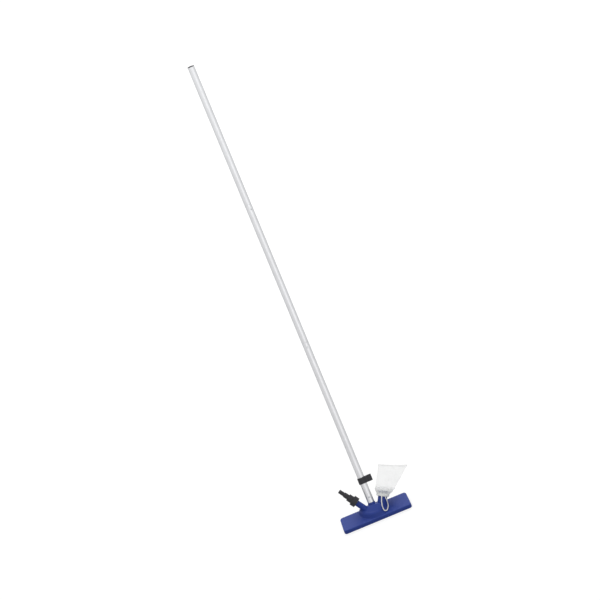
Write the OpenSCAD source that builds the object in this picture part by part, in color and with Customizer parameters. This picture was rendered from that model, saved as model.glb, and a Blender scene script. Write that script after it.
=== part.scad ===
// Garden-hose pool vacuum: a moulded suction head with a domed hub on a long three-section pole.
// The hub carries three tubes that fan out in one leaning plane: the hose inlet on the left, the pole
// in the middle and the outlet with its mesh debris bag on the right.
// Frame: the origin is the middle of the head's underside, +X runs along the head towards the bag,
// +Y is the way the pole leans, +Z is up.

/* [Head] */
// Length of the head along its front edge
head_front = 314; // [260:1:360]
// Length of the head along its back edge
head_back = 306; // [250:1:350]
// Depth of the head from front to back
head_depth = 95; // [85:1:110]
// Height of the head's flat top above the pool floor
head_height = 20; // [18:0.5:26]
// Radius of the head's corners in plan
corner_r = 12; // [8:0.5:16]
// Radius of the rounded edge round the head's top
edge_r = 4; // [2:0.5:6]
// Wall of the head's moulding
shell_wall = 2.6; // [2:0.1:3.5]
// Height of the glide ribs that hold the base off the pool floor
glide_h = 2; // [1:0.5:3]

/* [Hub] */
// Half width of the hub where it meets the head
hub_half_w = 70; // [66:1:74]
// Sideways distance of the hub's middle from the pole, towards the outlet
hub_shift = 0; // [-3:0.5:4]
// Length of the hub from its back end to its front, on the head's top
hub_len = 76; // [70:1:78]
// Height of the hub's front wall above the head's top
hub_wall_h = 22; // [18:0.5:26]
// How far the hub's front wall leans in over its height
hub_lean = 13; // [8:0.5:18]
// Angle of the pole above the pool floor
pole_tilt = 55; // [50:1:60]

/* [Pole] */
// Outside diameter of the pole's tubes
pole_d = 30; // [28:0.1:33]
// Wall of the pole's tubes
pole_wall = 1.2; // [1:0.1:1.5]
// Length of each of the three tubes
section_len = 746; // [500:1:900]
// Length of a tube's reduced end, inside the tube below it
neck_len = 104; // [70:1:130]
// Distance along the pole from the fan's root to the shoulder that the pole stands on
shoulder_at = 43; // [41:0.5:48]
// Length of the head's spigot inside the pole
spigot_len = 60; // [50:1:90]
// Chamfer round the ends of the pole's tubes
tube_chamfer = 0.8; // [0.6:0.1:0.9]
// Outside diameter of the collar under the pole
collar_d = 33; // [33:0.5:36]
// Thickness of the end cap's rim
cap_rim = 2.5; // [1.5:0.5:5]

/* [Snap buttons] */
// Diameter of a snap button
button_d = 7.6; // [6:0.1:8]
// Height of a snap button above the pole's surface
button_out = 2.2; // [1.8:0.1:3]
// Travel of a snap button when it is pressed
button_travel = 3; // [2.5:0.1:3.2]
// Height of the head's snap button above the shoulder
head_button_at = 26; // [20:1:35]
// Depth of each pole joint's snap button below the seam
joint_button_at = 22; // [16:1:40]
// Turn of the upper tube about the pole, which carries its snap button round
upper_turn = 25; // [0:1:45]

/* [Hose inlet] */
// Sideways distance of the inlet's axis from the pole's axis at the fan's root
inlet_offset = 15.5; // [13:0.5:17]
// Angle between the inlet and the pole
inlet_angle = 34; // [30:1:38]
// Outside diameter of the inlet stub
stub_d = 26; // [23:0.5:28]
// Bore of the inlet stub
stub_bore = 15; // [10:0.5:16]
// Distance along the inlet from the fan's root to the adaptor collar
stub_end = 78; // [74:0.5:90]
// Outside diameter of the adaptor collar
nut_d = 45; // [43:0.5:50]
// Length of the adaptor collar
nut_len = 22; // [20:0.5:26]
// Diameter of the stub's threaded head inside the collar
thread_d = 36; // [35:0.5:37]
// Diameter of the adaptor tail's large step, next to the collar
tail_large_d = 32; // [29:0.5:33]
// Diameter of the tail's medium step
tail_medium_d = 22.5; // [20:0.5:26]
// Diameter of the tail's small step, at its tip
tail_small_d = 17.5; // [15:0.5:19]
// Length of the large step outside the collar
tail_large_len = 22; // [15:0.5:35]
// Length of the medium step
tail_medium_len = 21; // [15:0.5:35]
// Length of the small step
tail_small_len = 26; // [15:0.5:35]
// Bore through the adaptor tail
tail_bore = 11; // [8:0.5:12]

/* [Outlet and bag] */
// Sideways distance of the outlet's axis from the pole's axis at the fan's root
outlet_offset = 29; // [26:0.5:32]
// Angle between the outlet and the pole
outlet_angle = 29; // [26:1:33]
// Outside diameter of the outlet tube
outlet_d = 40; // [38:0.5:42]
// Wall of the outlet tube
outlet_wall = 3; // [2:0.1:4]
// Distance along the outlet from the fan's root to the tube's open end
outlet_end = 78; // [74:1:90]
// Distance along the outlet from the fan's root to the lower edge of the bag's hem
hem_at = 56; // [54:1:62]
// Height of the bag's gathered hem
hem_h = 12; // [11:0.5:16]
// Thickness of the bag's hem
hem_wall = 7; // [6:0.1:8]
// Width of the bag's closed end
bag_w = 127.5; // [100:0.5:150]
// Length of the bag from its hem to the middle of its closed end
bag_len = 122; // [100:1:150]
// Depth of the bag where it is fullest
bag_depth = 58; // [57:1:70]
// Lean of the bag's closed end across the outlet's axis
bag_lean = 6; // [0:1:12]
// Sideways drift of the bag's closed end from the outlet's axis
bag_drift = 27.5; // [10:0.5:36]
// Thickness of the bag's mesh cloth
bag_wall = 1.2; // [0.8:0.1:2]
// Diameter of the drawstring
cord_d = 4.6; // [3:0.1:5]

/* [Hose clip] */
// Distance along the pole from the shoulder to the middle of the clip
clip_at = 102; // [80:1:300]
// Length of the clip along the pole
clip_len = 28; // [20:0.5:35]
// Wall of the clip's two rings
clip_wall = 3; // [2:0.1:3.5]
// Diameter of the garden hose that the clip's jaw holds
hose_d = 22; // [18:0.5:24]
// Width of the jaw's mouth
jaw_mouth = 15; // [10:0.5:16]

/* [Clearances] */
// Gap between pieces that slide or turn on each other, on the radius
run_gap = 0.3; // [0.2:0.05:0.4]
// Gap between pieces that are fixed in each other, on the radius
fix_gap = 0.1; // [0.05:0.05:0.2]

/* [Hidden] */
$fn = 64;
hull_fn = 32;
// Length of a cut that goes right through a wall
through = 200;

// Colours, as the photograph shows them
blue = [0.27, 0.32, 0.58];
charcoal = [0.22, 0.22, 0.24];
silver = [0.86, 0.87, 0.88];
mesh_white = [0.94, 0.95, 0.95];
cord_white = [0.90, 0.89, 0.85];
brass = [0.72, 0.58, 0.30];
steel = [0.68, 0.69, 0.70];
black = [0.10, 0.10, 0.10];

// Head: the roof's underside, the base plate's seat and the screw places
roof_z = head_height - shell_wall;
base_t = 2.5;
base_top = glide_h + base_t;
skirt_z = glide_h;
screw_d = 3;
screw_head_d = 6.4;
screw_head_h = 1.6;
screw_len = 11;
post_d = 8;
screw_in = 20;
screw_mid_x = 86;
screw_y = head_depth / 2 - 14;
screw_end_x = head_back / 2 - screw_in;
recess_w = 1;
recess_d = 0.8;
screw_places = [
    for (sx = [-1, 1]) for (sy = [-1, 1]) for (x = [screw_mid_x, screw_end_x]) [sx * x, sy * screw_y]
];
slot_w = 12;
slot_y = 14;
slot_x = 66;
slot_len = 104;
rib_len = head_back - 60;
middle_rib_w = 8;
side_rib_w = 4;
side_rib_y = slot_y + slot_w / 2 + 5;

// Hub: plan ellipses at its foot, its crease and inside
hub_back_y = head_depth / 2 - 15.5;
crease_z = head_height + hub_wall_h;
crease_half_w = hub_half_w - hub_lean;
crease_len = hub_len - hub_lean;
crease_drop = 5;
crease_out = 3;
crease_in = 4;
slab_t = 0.5;
foot_rim = 3;
collar_rim = 2;
collar_out = 10;
inlet_foot = 26;
outlet_foot = 24;
outlet_root = 18;
throat_r = 20;
throat_w = 80;
throat_y = hub_back_y - hub_len / 2 + 10;

// Pole: radii, the inside of a reduced end and where the seams lie along the pole
pole_r = pole_d / 2;
pole_in_r = pole_r - pole_wall;
neck_r = pole_in_r - fix_gap;
neck_in_r = neck_r - pole_wall;
swage_len = 3;
seam_1 = shoulder_at + section_len;
seam_2 = seam_1 + section_len - neck_len;
pole_top = seam_2 + section_len - neck_len;
cap_plug_len = 25;
cap_crown = 2.5;
spigot_r = pole_in_r - fix_gap;
spigot_in_r = spigot_r - 3;
spigot_root = (collar_d / 2 + stub_d / 2 / cos(inlet_angle) - inlet_offset) / tan(inlet_angle) + 1;
spigot_floor = spigot_root + 5;

// Snap buttons: the flange inside the tube, the rivet and the leaf spring behind it
button_hole_r = button_d / 2 + run_gap;
flange_r = button_d / 2 + 1.2;
flange_t = 1.2;
rivet_r = 1.5;
rivet_out = 0.5;
button_bevel = 1.2;
leaf_t = 0.8;
leaf_w = 8;
leaf_up = 9;
leaf_down = 22;

// Inlet: the threaded head, the washer, the tail's flange and the collar's lip, outwards
nut_bore_r = thread_d / 2 + run_gap;
head_from = stub_end + 2;
washer_t = 2;
lip_t = 3.2;
flange_at = stub_end + nut_len - lip_t - run_gap - 3;
tail_flange_t = 3;
washer_at = flange_at - washer_t;
thread_pitch = 3;
thread_depth = 0.9;
stub_rib_w = 2.4;
stub_rib_h = 1;
washer_gap = 0.5;
flutes = 20;
flute_r = 1.2;
flute_depth = 0.6;
flute_margin = 3;
tail_chamfer = 1;
tail_relief = 0.5;
step_d = [tail_large_d, tail_medium_d, tail_small_d];
step_len = [tail_large_len, tail_medium_len, tail_small_len];
manifold_at = 12.4;
manifold_d = 15;
manifold_bore = 9;
pipe_root = manifold_at / cos(inlet_angle);
nozzle_d = 5;
nozzle_bore = 2.4;
nozzle_len = 15;
nozzle_pitch = 8;
nozzle_mid_x = outlet_offset + manifold_at * tan(outlet_angle) - 2;

// Bag: where its fullest part and its closed end lie along the outlet
outlet_r = outlet_d / 2;
hem_in_r = outlet_r + run_gap;
hem_out_r = hem_in_r + hem_wall;
hem_mid = hem_at + hem_h / 2;
belly_at = hem_at + hem_h + 17;
belly_w = 80;
belly_drift = 3;
bag_end_at = hem_at + hem_h + bag_len;
bag_end_t = 5;
seam_h = 7;

// Clip: the jaw's centre beside the pole
clip_ring_r = pole_r + run_gap + clip_wall;
jaw_r = hose_d / 2;
jaw_x = clip_ring_r + jaw_r + clip_wall;
clip_web = 12;

// Free drawstring: round points from the hem's front, down over the hub and back to the hem
loop_route = [
    [52, 11.5, 77], [50.5, 6, 76], [48, 3, 71.5], [45.5, 0, 66], [42.5, -4.5, 60.5],
    [40.5, -10, 55], [38.5, -15.5, 50], [37.5, -19.5, 43], [38, -25, 35.5], [40, -28, 28.5],
    [45.5, -28, 24], [51, -25, 23.5], [56.5, -17, 24], [60.5, -8, 24.5], [62.5, -1, 25.5],
    [64, 5, 28.5], [65, 7, 34.5], [65.5, 5.5, 42], [65.5, 4.5, 49.5], [65.5, 5, 55.5],
    [65, 5, 60.5], [65, 6.2, 64.8], [65.5, 8.5, 69]
];

// Puts children on an axis of the fan: z runs outwards along it, -y faces the front
module on_axis(offset, angle) {
    translate([offset, 0, head_height])
        rotate([pole_tilt - 90, 0, 0])
            rotate([0, angle, 0])
                children();
}

module on_pole() { on_axis(0, 0) children(); }
module on_inlet() { on_axis(-inlet_offset, -inlet_angle) children(); }
module on_outlet() { on_axis(outlet_offset, outlet_angle) children(); }

// A straight tube with a true bore, from one height to another
module tube(from, to, r_out, r_in) {
    difference() {
        translate([0, 0, from]) cylinder(h = to - from, r = r_out);
        translate([0, 0, from - 1]) cylinder(h = to - from + 2, r = r_in);
    }
}

// Four corners of the head's outline, drawn in from the edge by a margin
module at_corners(margin) {
    for (sx = [-1, 1]) for (sy = [-1, 1])
        translate([
            sx * ((sy < 0 ? head_front : head_back) / 2 - margin),
            sy * (head_depth / 2 - margin),
            0
        ]) children();
}

// The head's outer block, with a rounded top edge
module head_block() {
    hull() at_corners(corner_r) {
        translate([0, 0, skirt_z]) cylinder(h = head_height - edge_r - skirt_z, r = corner_r, $fn = hull_fn);
        translate([0, 0, head_height - edge_r * 0.3])
            cylinder(h = edge_r * 0.3, r = corner_r - edge_r, $fn = hull_fn);
        translate([0, 0, head_height - edge_r * 0.7])
            cylinder(h = edge_r * 0.2, r = corner_r - edge_r * 0.3, $fn = hull_fn);
    }
}

// A thin slab of the hub's plan: half an ellipse that bulges to the front
module hub_slab(z, half_w, len) {
    intersection() {
        translate([hub_shift, hub_back_y, z])
            scale([half_w, len, 1]) cylinder(h = slab_t, r = 1, $fn = 2 * hull_fn);
        translate([hub_shift - half_w, hub_back_y - len, z]) cube([2 * half_w, len, slab_t]);
    }
}

// The hub from its foot to its rounded crease
module hub_body(inset) {
    half_w = crease_half_w - inset;
    len = crease_len - inset;
    hull() {
        hub_slab(head_height - shell_wall, hub_half_w - inset, hub_len - inset);
        hub_slab(crease_z - crease_drop - inset, half_w + crease_out, len + crease_out);
        hub_slab(crease_z - inset, half_w - crease_in, len - crease_in);
    }
}

// The hub from its crease up to the feet of its three tubes
module hub_top(inset) {
    hull() {
        hub_slab(crease_z - 3 - inset, crease_half_w - inset - 1, crease_len - inset - 1);
        hub_ring(0, 0, shoulder_at - collar_out, collar_d / 2 + collar_rim, inset);
        hub_ring(-inlet_offset, -inlet_angle, inlet_foot, stub_d / 2 + foot_rim, inset);
        hub_ring(outlet_offset, outlet_angle, outlet_foot, outlet_r + foot_rim, inset);
    }
}

// The ring of hub wall round the foot of one tube
module hub_ring(offset, angle, at, r, inset) {
    on_axis(offset, angle) translate([0, 0, at - foot_rim - inset])
        cylinder(h = foot_rim, r = r - inset, $fn = hull_fn);
}

// Oblong opening in the head's top that the water rises through into the hub
module throat() {
    reach = throat_w / 2 - throat_r;
    translate([hub_shift, throat_y, roof_z - 1]) {
        for (sx = [-1, 1]) translate([sx * reach, 0, 0]) cylinder(h = shell_wall + 2, r = throat_r);
        translate([-reach, -throat_r, 0]) cube([2 * reach, 2 * throat_r, shell_wall + 2]);
    }
}

// One-piece moulded top of the head: plate, skirt, domed hub and screw posts
module head_shell() {
    color(blue) difference() {
        union() {
            difference() {
                head_block();
                hull() at_corners(corner_r)
                    translate([0, 0, skirt_z - 1])
                        cylinder(h = roof_z - skirt_z + 1, r = corner_r - shell_wall, $fn = hull_fn);
            }
            difference() {
                union() {
                    hub_body(0);
                    hub_top(0);
                }
                hub_body(shell_wall);
                hub_top(shell_wall);
            }
            for (p = screw_places)
                translate([p[0], p[1], base_top]) cylinder(h = roof_z - base_top + 0.5, r = post_d / 2);
        }
        throat();
        on_pole() translate([0, 0, spigot_root - 1]) cylinder(h = through, r = collar_d / 2 + fix_gap);
        on_inlet() translate([0, 0, pipe_root]) cylinder(h = through, r = stub_d / 2 + fix_gap);
        on_outlet() translate([0, 0, outlet_root]) cylinder(h = through, r = outlet_r + fix_gap);
        for (p = screw_places)
            translate([p[0], p[1], 0]) cylinder(h = roof_z - 1, r = screw_d / 2 + fix_gap);
    }
}

// Lower cover inside the skirt, with two pairs of suction slots and the glide ribs
module base_plate() {
    base_r = corner_r - shell_wall - run_gap;
    color(blue) difference() {
        union() {
            hull() at_corners(corner_r)
                translate([0, 0, glide_h]) cylinder(h = base_t, r = base_r, $fn = hull_fn);
            glide_rib(0, middle_rib_w);
            for (sy = [-1, 1]) glide_rib(sy * side_rib_y, side_rib_w);
        }
        for (sx = [-1, 1]) for (sy = [-1, 1])
            translate([sx * slot_x - slot_len / 2, sy * slot_y - slot_w / 2, -1])
                cube([slot_len, slot_w, base_top + 2]);
        for (p = screw_places) translate([p[0], p[1], 0]) {
            cylinder(h = base_top + 1, r = screw_d / 2 + fix_gap);
            translate([0, 0, -1]) cylinder(h = 1 + glide_h + screw_head_h, r = screw_head_d / 2 + run_gap);
        }
    }
}

// A long rib under the base plate that slides on the pool floor
module glide_rib(y, w) {
    translate([-rib_len / 2, y - w / 2, 0]) cube([rib_len, w, glide_h + base_t / 2]);
}

// Self-tapping screws that hold the base plate up to the head's posts
module base_screws() {
    color(steel) for (p = screw_places) translate([p[0], p[1], glide_h]) {
        difference() {
            cylinder(h = screw_head_h, r = screw_head_d / 2);
            for (turn = [0, 90]) rotate([0, 0, turn])
                translate([-screw_head_d / 2 + recess_w, -recess_w / 2, -1])
                    cube([screw_head_d - 2 * recess_w, recess_w, 1 + recess_d]);
        }
        translate([0, 0, screw_head_h]) cylinder(h = screw_len - screw_head_h, r = screw_d / 2);
    }
}

// Collar that the pole stands on, with the hollow spigot that goes up inside the pole
module pole_spigot() {
    color(blue) on_pole() difference() {
        union() {
            translate([0, 0, spigot_root]) cylinder(h = shoulder_at - spigot_root, r = collar_d / 2);
            translate([0, 0, shoulder_at]) cylinder(h = spigot_len, r = spigot_r);
        }
        translate([0, 0, spigot_floor]) cylinder(h = pole_top, r = spigot_in_r);
        translate([0, 0, shoulder_at + head_button_at])
            rotate([90, 0, 0]) cylinder(h = pole_d, r = button_hole_r);
    }
}

// Tube that the jets blow up through, out into the bag
module outlet_tube() {
    color(blue) on_outlet() tube(outlet_root, outlet_end, outlet_r, outlet_r - outlet_wall);
}

// Hose stub with its threaded head, and the jet manifold that it feeds inside the hub
module inlet_pipe() {
    root_x = -inlet_offset - manifold_at * tan(inlet_angle);
    reach = nozzle_mid_x + nozzle_pitch + nozzle_d - root_x;
    end_wall = 3;
    rib_from = inlet_foot + 12;
    color(blue) difference() {
        union() {
            on_inlet() {
                translate([0, 0, pipe_root]) cylinder(h = washer_at - pipe_root, r = stub_d / 2);
                translate([0, 0, head_from]) cylinder(h = washer_at - head_from, r = thread_d / 2);
                translate([-stub_rib_w / 2, -stub_d / 2 - stub_rib_h, rib_from])
                    cube([stub_rib_w, 2 * stub_rib_h, head_from - rib_from - stub_rib_h]);
            }
            on_pole() translate([root_x, 0, manifold_at])
                rotate([0, 90, 0]) cylinder(h = reach, r = manifold_d / 2);
        }
        on_inlet() translate([0, 0, pipe_root]) cylinder(h = through, r = stub_bore / 2);
        on_inlet() for (z = [head_from + thread_pitch / 2 : thread_pitch : washer_at - 1])
            translate([0, 0, z]) difference() {
                cylinder(h = thread_pitch / 2, r = thread_d / 2 + 1);
                translate([0, 0, -1]) cylinder(h = thread_pitch + 2, r = thread_d / 2 - thread_depth);
            }
        on_pole() translate([root_x, 0, manifold_at])
            rotate([0, 90, 0]) cylinder(h = reach - end_wall, r = manifold_bore / 2);
        nozzle_places() translate([0, 0, manifold_bore / 2 - 1])
            cylinder(h = manifold_d, r = nozzle_d / 2 + fix_gap);
    }
}

// Places of the jets: a row on the manifold, each pointing up the outlet
module nozzle_places() {
    on_pole() for (i = [-1, 0, 1])
        translate([nozzle_mid_x + i * nozzle_pitch, 0, manifold_at])
            rotate([0, outlet_angle, 0]) children();
}

// Small jets that drive the water up the outlet
module jet_nozzles() {
    color(brass) nozzle_places() {
        tube(manifold_bore / 2 + 1, manifold_bore / 2 + 1 + nozzle_len, nozzle_d / 2, nozzle_bore / 2);
    }
}

// Rubber washer between the stub's head and the adaptor tail
module inlet_washer() {
    color(black) on_inlet() tube(washer_at, flange_at, thread_d / 2 - washer_gap, stub_bore / 2 + washer_gap);
}

// Fluted collar that screws the adaptor tail onto the stub
module adaptor_collar() {
    color(charcoal) on_inlet() difference() {
        translate([0, 0, stub_end]) cylinder(h = nut_len, r = nut_d / 2);
        translate([0, 0, stub_end - 1]) cylinder(h = nut_len - lip_t + 1, r = nut_bore_r);
        translate([0, 0, stub_end]) cylinder(h = nut_len + 1, r = step_d[0] / 2 + run_gap);
        for (i = [0 : flutes - 1]) rotate([0, 0, i * 360 / flutes])
            translate([nut_d / 2 + flute_r - flute_depth, 0, stub_end + flute_margin])
                cylinder(h = nut_len - 2 * flute_margin, r = flute_r, $fn = 16);
    }
}

// Stepped tail for three sizes of hose, with the flange that the collar holds
module adaptor_tail() {
    tail_from = stub_end + nut_len;
    starts = [0, step_len[0], step_len[0] + step_len[1]];
    color(charcoal) on_inlet() difference() {
        union() {
            translate([0, 0, flange_at]) cylinder(h = tail_flange_t, r = thread_d / 2);
            translate([0, 0, flange_at + tail_flange_t])
                cylinder(h = tail_from - flange_at - tail_flange_t, r = step_d[0] / 2 - tail_relief);
            for (i = [0 : 2]) translate([0, 0, tail_from + starts[i]]) {
                cylinder(h = step_len[i] - tail_chamfer, r = step_d[i] / 2);
                translate([0, 0, step_len[i] - tail_chamfer])
                    cylinder(h = tail_chamfer, r1 = step_d[i] / 2, r2 = step_d[i] / 2 - tail_chamfer);
            }
        }
        translate([0, 0, flange_at - 1]) cylinder(h = through, r = tail_bore / 2);
    }
}

// A snap button's hole through a tube's front wall
module button_hole(at) {
    translate([0, 0, at]) rotate([90, 0, 0]) cylinder(h = pole_d, r = button_hole_r);
}

// Lowest tube, open at both ends, over the head's spigot
module pole_lower() {
    color(silver) on_pole() difference() {
        translate([0, 0, shoulder_at]) rotate_extrude() polygon([
            [pole_in_r, 0], [pole_r - tube_chamfer, 0], [pole_r, tube_chamfer],
            [pole_r, section_len - tube_chamfer], [pole_r - tube_chamfer, section_len],
            [pole_in_r, section_len]
        ]);
        button_hole(shoulder_at + head_button_at);
        button_hole(seam_1 - joint_button_at);
    }
}

// A tube with a reduced lower end that goes inside the tube below it
module necked_tube(seam) {
    end = section_len - neck_len;
    translate([0, 0, seam]) rotate_extrude() polygon([
        [neck_in_r, -neck_len], [neck_r, -neck_len], [neck_r, 0],
        [pole_r - tube_chamfer, 0], [pole_r, tube_chamfer],
        [pole_r, end - tube_chamfer], [pole_r - tube_chamfer, end], [pole_in_r, end],
        [pole_in_r, swage_len], [neck_in_r, swage_len - pole_wall]
    ]);
}

// Middle tube
module pole_middle() {
    color(silver) on_pole() difference() {
        necked_tube(seam_1);
        button_hole(seam_1 - joint_button_at);
        rotate([0, 0, upper_turn]) button_hole(seam_2 - joint_button_at);
    }
}

// Upper tube, which is held in use
module pole_upper() {
    color(silver) on_pole() difference() {
        necked_tube(seam_2);
        rotate([0, 0, upper_turn]) button_hole(seam_2 - joint_button_at);
    }
}

// Plug with a low crown in the top of the pole
module pole_end_cap() {
    crown_r = (pole_r * pole_r + cap_crown * cap_crown) / (2 * cap_crown);
    color(charcoal) on_pole() translate([0, 0, pole_top]) {
        translate([0, 0, -cap_plug_len]) cylinder(h = cap_plug_len, r = pole_in_r - fix_gap);
        cylinder(h = cap_rim, r = pole_r);
        intersection() {
            translate([0, 0, cap_rim + cap_crown - crown_r]) sphere(r = crown_r);
            translate([0, 0, cap_rim - 0.01]) cylinder(h = cap_crown + 1, r = pole_r);
        }
    }
}

// Snap-on clip: a ring on the pole and an open jaw beside it for the hose
module hose_clip() {
    color(charcoal) on_pole() translate([0, 0, shoulder_at + clip_at - clip_len / 2]) difference() {
        union() {
            cylinder(h = clip_len, r = clip_ring_r);
            translate([jaw_x, 0, 0]) cylinder(h = clip_len, r = jaw_r + clip_wall);
            translate([0, -clip_web, 0]) cube([jaw_x, 2 * clip_web, clip_len]);
        }
        translate([0, 0, -1]) cylinder(h = clip_len + 2, r = pole_r + run_gap);
        translate([jaw_x, 0, -1]) cylinder(h = clip_len + 2, r = jaw_r);
        translate([jaw_x, -jaw_mouth / 2, -1]) cube([pole_d, jaw_mouth, clip_len + 2]);
    }
}

// Distance from the tube's axis to the top of a button's flange, under a wall of the given inner radius
function flange_top(wall_r) = sqrt(wall_r * wall_r - flange_r * flange_r) - run_gap;

// Distance from the tube's axis to the front face of the spring's front arm
function leaf_face(wall_r) = flange_top(wall_r) - flange_t - button_travel - run_gap;

// Button with a bevelled top, its inner flange and the rivet that guides it through its spring
module snap_button(at, wall_r) {
    flange = flange_top(wall_r);
    tip = pole_r + button_out;
    rivet = leaf_face(wall_r) - leaf_t - rivet_out;
    translate([0, 0, at]) rotate([90, 0, 0]) rotate_extrude() polygon([
        [0, rivet], [rivet_r, rivet], [rivet_r, flange - flange_t], [flange_r, flange - flange_t],
        [flange_r, flange], [button_d / 2, flange], [button_d / 2, tip - button_bevel],
        [button_d / 2 - button_bevel, tip], [0, tip]
    ]);
}

// Folded leaf spring: a front arm behind the button, a bend and a back arm on the far wall
module leaf_spring(at, wall_r) {
    face = leaf_face(wall_r);
    back = sqrt(wall_r * wall_r - leaf_w * leaf_w / 4) - fix_gap;
    translate([-leaf_w / 2, 0, at]) difference() {
        union() {
            translate([0, -face, -leaf_down]) cube([leaf_w, leaf_t, leaf_down + leaf_up]);
            translate([0, -face, -leaf_down]) cube([leaf_w, face + back, leaf_t]);
            translate([0, back - leaf_t, -leaf_down]) cube([leaf_w, leaf_t, leaf_down + leaf_up]);
        }
        translate([leaf_w / 2, 0, 0]) rotate([90, 0, 0]) cylinder(h = pole_r, r = rivet_r + run_gap);
    }
}

// Button that locks the pole on the head's spigot
module head_button() { color(steel) on_pole() snap_button(shoulder_at + head_button_at, spigot_in_r); }

// Button that locks the middle tube in the lower one
module lower_button() { color(steel) on_pole() snap_button(seam_1 - joint_button_at, neck_in_r); }

// Button that locks the upper tube in the middle one
module upper_button() {
    color(steel) on_pole() rotate([0, 0, upper_turn]) snap_button(seam_2 - joint_button_at, neck_in_r);
}

// Spring of the button in the head's spigot
module head_spring() { color(steel) on_pole() leaf_spring(shoulder_at + head_button_at, spigot_in_r); }

// Spring of the button between the lower and the middle tube
module lower_spring() { color(steel) on_pole() leaf_spring(seam_1 - joint_button_at, neck_in_r); }

// Spring of the button between the middle and the upper tube
module upper_spring() {
    color(steel) on_pole() rotate([0, 0, upper_turn]) leaf_spring(seam_2 - joint_button_at, neck_in_r);
}

// The bag's outer shape, drawn in by a margin: round at the hem, full above it, flat at its closed end
module bag_form(margin) {
    hull() {
        translate([0, 0, hem_at + hem_h - margin])
            cylinder(h = 0.5, r = hem_out_r - margin, $fn = hull_fn);
        bag_belly(margin);
    }
    hull() {
        bag_belly(margin);
        bag_end(margin);
    }
}

// The bag's fullest part, a flat ellipse
module bag_belly(margin) {
    translate([belly_drift, 0, belly_at])
        scale([belly_w / 2 - margin, bag_depth / 2 - margin, 1]) cylinder(h = 1, r = 1, $fn = hull_fn);
}

// The bag's closed end, a flat bar that leans across the outlet's axis
module bag_end(margin) {
    translate([bag_drift, 0, bag_end_at]) rotate([0, -bag_lean, 0])
        translate([-bag_w / 2 + margin, -bag_end_t / 2 + margin / 2, -1 - margin])
            cube([bag_w - 2 * margin, bag_end_t - margin, 1]);
}

// Hollow mesh bag, open at its hem
module debris_bag() {
    color(mesh_white) on_outlet() difference() {
        bag_form(0);
        bag_form(bag_wall);
    }
}

// Sewn seam along the bag's closed end
module bag_seam() {
    color(mesh_white) on_outlet() translate([bag_drift, 0, bag_end_at]) rotate([0, -bag_lean, 0])
        translate([-bag_w / 2, -bag_end_t / 2, 0]) cube([bag_w, bag_end_t, seam_h]);
}

// Gathered hem round the outlet tube, with the channel for the drawstring
module bag_hem() {
    string_r = hem_in_r + hem_wall / 2;
    color(mesh_white) on_outlet() difference() {
        tube(hem_at, hem_at + hem_h, hem_out_r, hem_in_r);
        translate([0, 0, hem_mid]) rotate_extrude()
            translate([string_r, 0]) circle(r = cord_d / 2 + fix_gap);
    }
}

// Drawstring inside the hem
module hem_drawstring() {
    string_r = hem_in_r + hem_wall / 2;
    color(cord_white) on_outlet() translate([0, 0, hem_mid])
        rotate_extrude() translate([string_r, 0]) circle(r = cord_d / 2);
}

// Sweeps a round cord of the given radius along its route, with level starting directions
module swept_cord(route, r, sides) {
    last = len(route) - 1;
    heading = [for (i = [0 : last]) unit(route[min(i + 1, last)] - route[max(i - 1, 0)])];
    side = [for (h = heading) unit(cross(h, [0, -0.8, 0.6]))];
    ring = [for (i = [0 : last]) for (k = [0 : sides - 1])
        let (a = 360 * k / sides)
        route[i] + r * (cos(a) * side[i] + sin(a) * cross(heading[i], side[i]))];
    walls = [for (i = [0 : last - 1]) for (k = [0 : sides - 1])
        let (n = (k + 1) % sides)
        for (t = [[0, 1, 2], [0, 2, 3]])
            let (q = [i * sides + k, (i + 1) * sides + k, (i + 1) * sides + n, i * sides + n])
            [q[t[0]], q[t[1]], q[t[2]]]];
    ends = [for (k = [1 : sides - 2]) for (e = [[0, k, k + 1], [0, k + 1, k]])
        let (end = e[1] == k ? 0 : last)
        [for (v = e) end * sides + v]];
    polyhedron(points = ring, faces = concat(walls, ends));
}

// A vector of length one
function unit(v) = v / norm(v);

// Free loop of the drawstring, hanging over the front of the hub
module drawstring_loop() { color(cord_white) swept_cord(loop_route, cord_d / 2, 8); }

head_shell();
base_plate();
base_screws();
pole_spigot();
outlet_tube();
inlet_pipe();
jet_nozzles();
inlet_washer();
adaptor_collar();
adaptor_tail();
pole_lower();
pole_middle();
pole_upper();
pole_end_cap();
hose_clip();
head_button();
lower_button();
upper_button();
head_spring();
lower_spring();
upper_spring();
debris_bag();
bag_seam();
bag_hem();
hem_drawstring();
drawstring_loop();
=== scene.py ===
# Garden-hose pool vacuum: a blue moulded suction head on a three-section aluminium pole, with a stepped
# hose adaptor on its left, a hose clip on the pole and a white net debris bag on its right.
from math import atan2, cos, exp, pi, radians, sin

import bmesh
import bpy
from mathutils import Matrix, Vector, noise


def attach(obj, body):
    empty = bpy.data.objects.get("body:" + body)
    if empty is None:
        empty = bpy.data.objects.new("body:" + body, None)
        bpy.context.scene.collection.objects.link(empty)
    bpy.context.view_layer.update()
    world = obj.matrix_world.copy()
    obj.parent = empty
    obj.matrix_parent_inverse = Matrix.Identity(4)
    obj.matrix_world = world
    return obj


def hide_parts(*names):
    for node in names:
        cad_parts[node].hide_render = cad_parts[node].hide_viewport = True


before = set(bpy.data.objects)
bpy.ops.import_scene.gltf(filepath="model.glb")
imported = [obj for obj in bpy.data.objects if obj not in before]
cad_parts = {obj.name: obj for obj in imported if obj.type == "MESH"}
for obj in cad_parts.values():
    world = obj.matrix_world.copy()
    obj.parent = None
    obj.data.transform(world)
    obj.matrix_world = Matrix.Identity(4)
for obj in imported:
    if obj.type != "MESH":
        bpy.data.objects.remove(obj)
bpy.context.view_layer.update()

# Viewpoint of the photograph: a long lens far in front of the head and 38 degrees above the floor, rolled
# so that the pole runs from the lower right of the frame to its upper left.
view_rise = radians(38)
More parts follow.
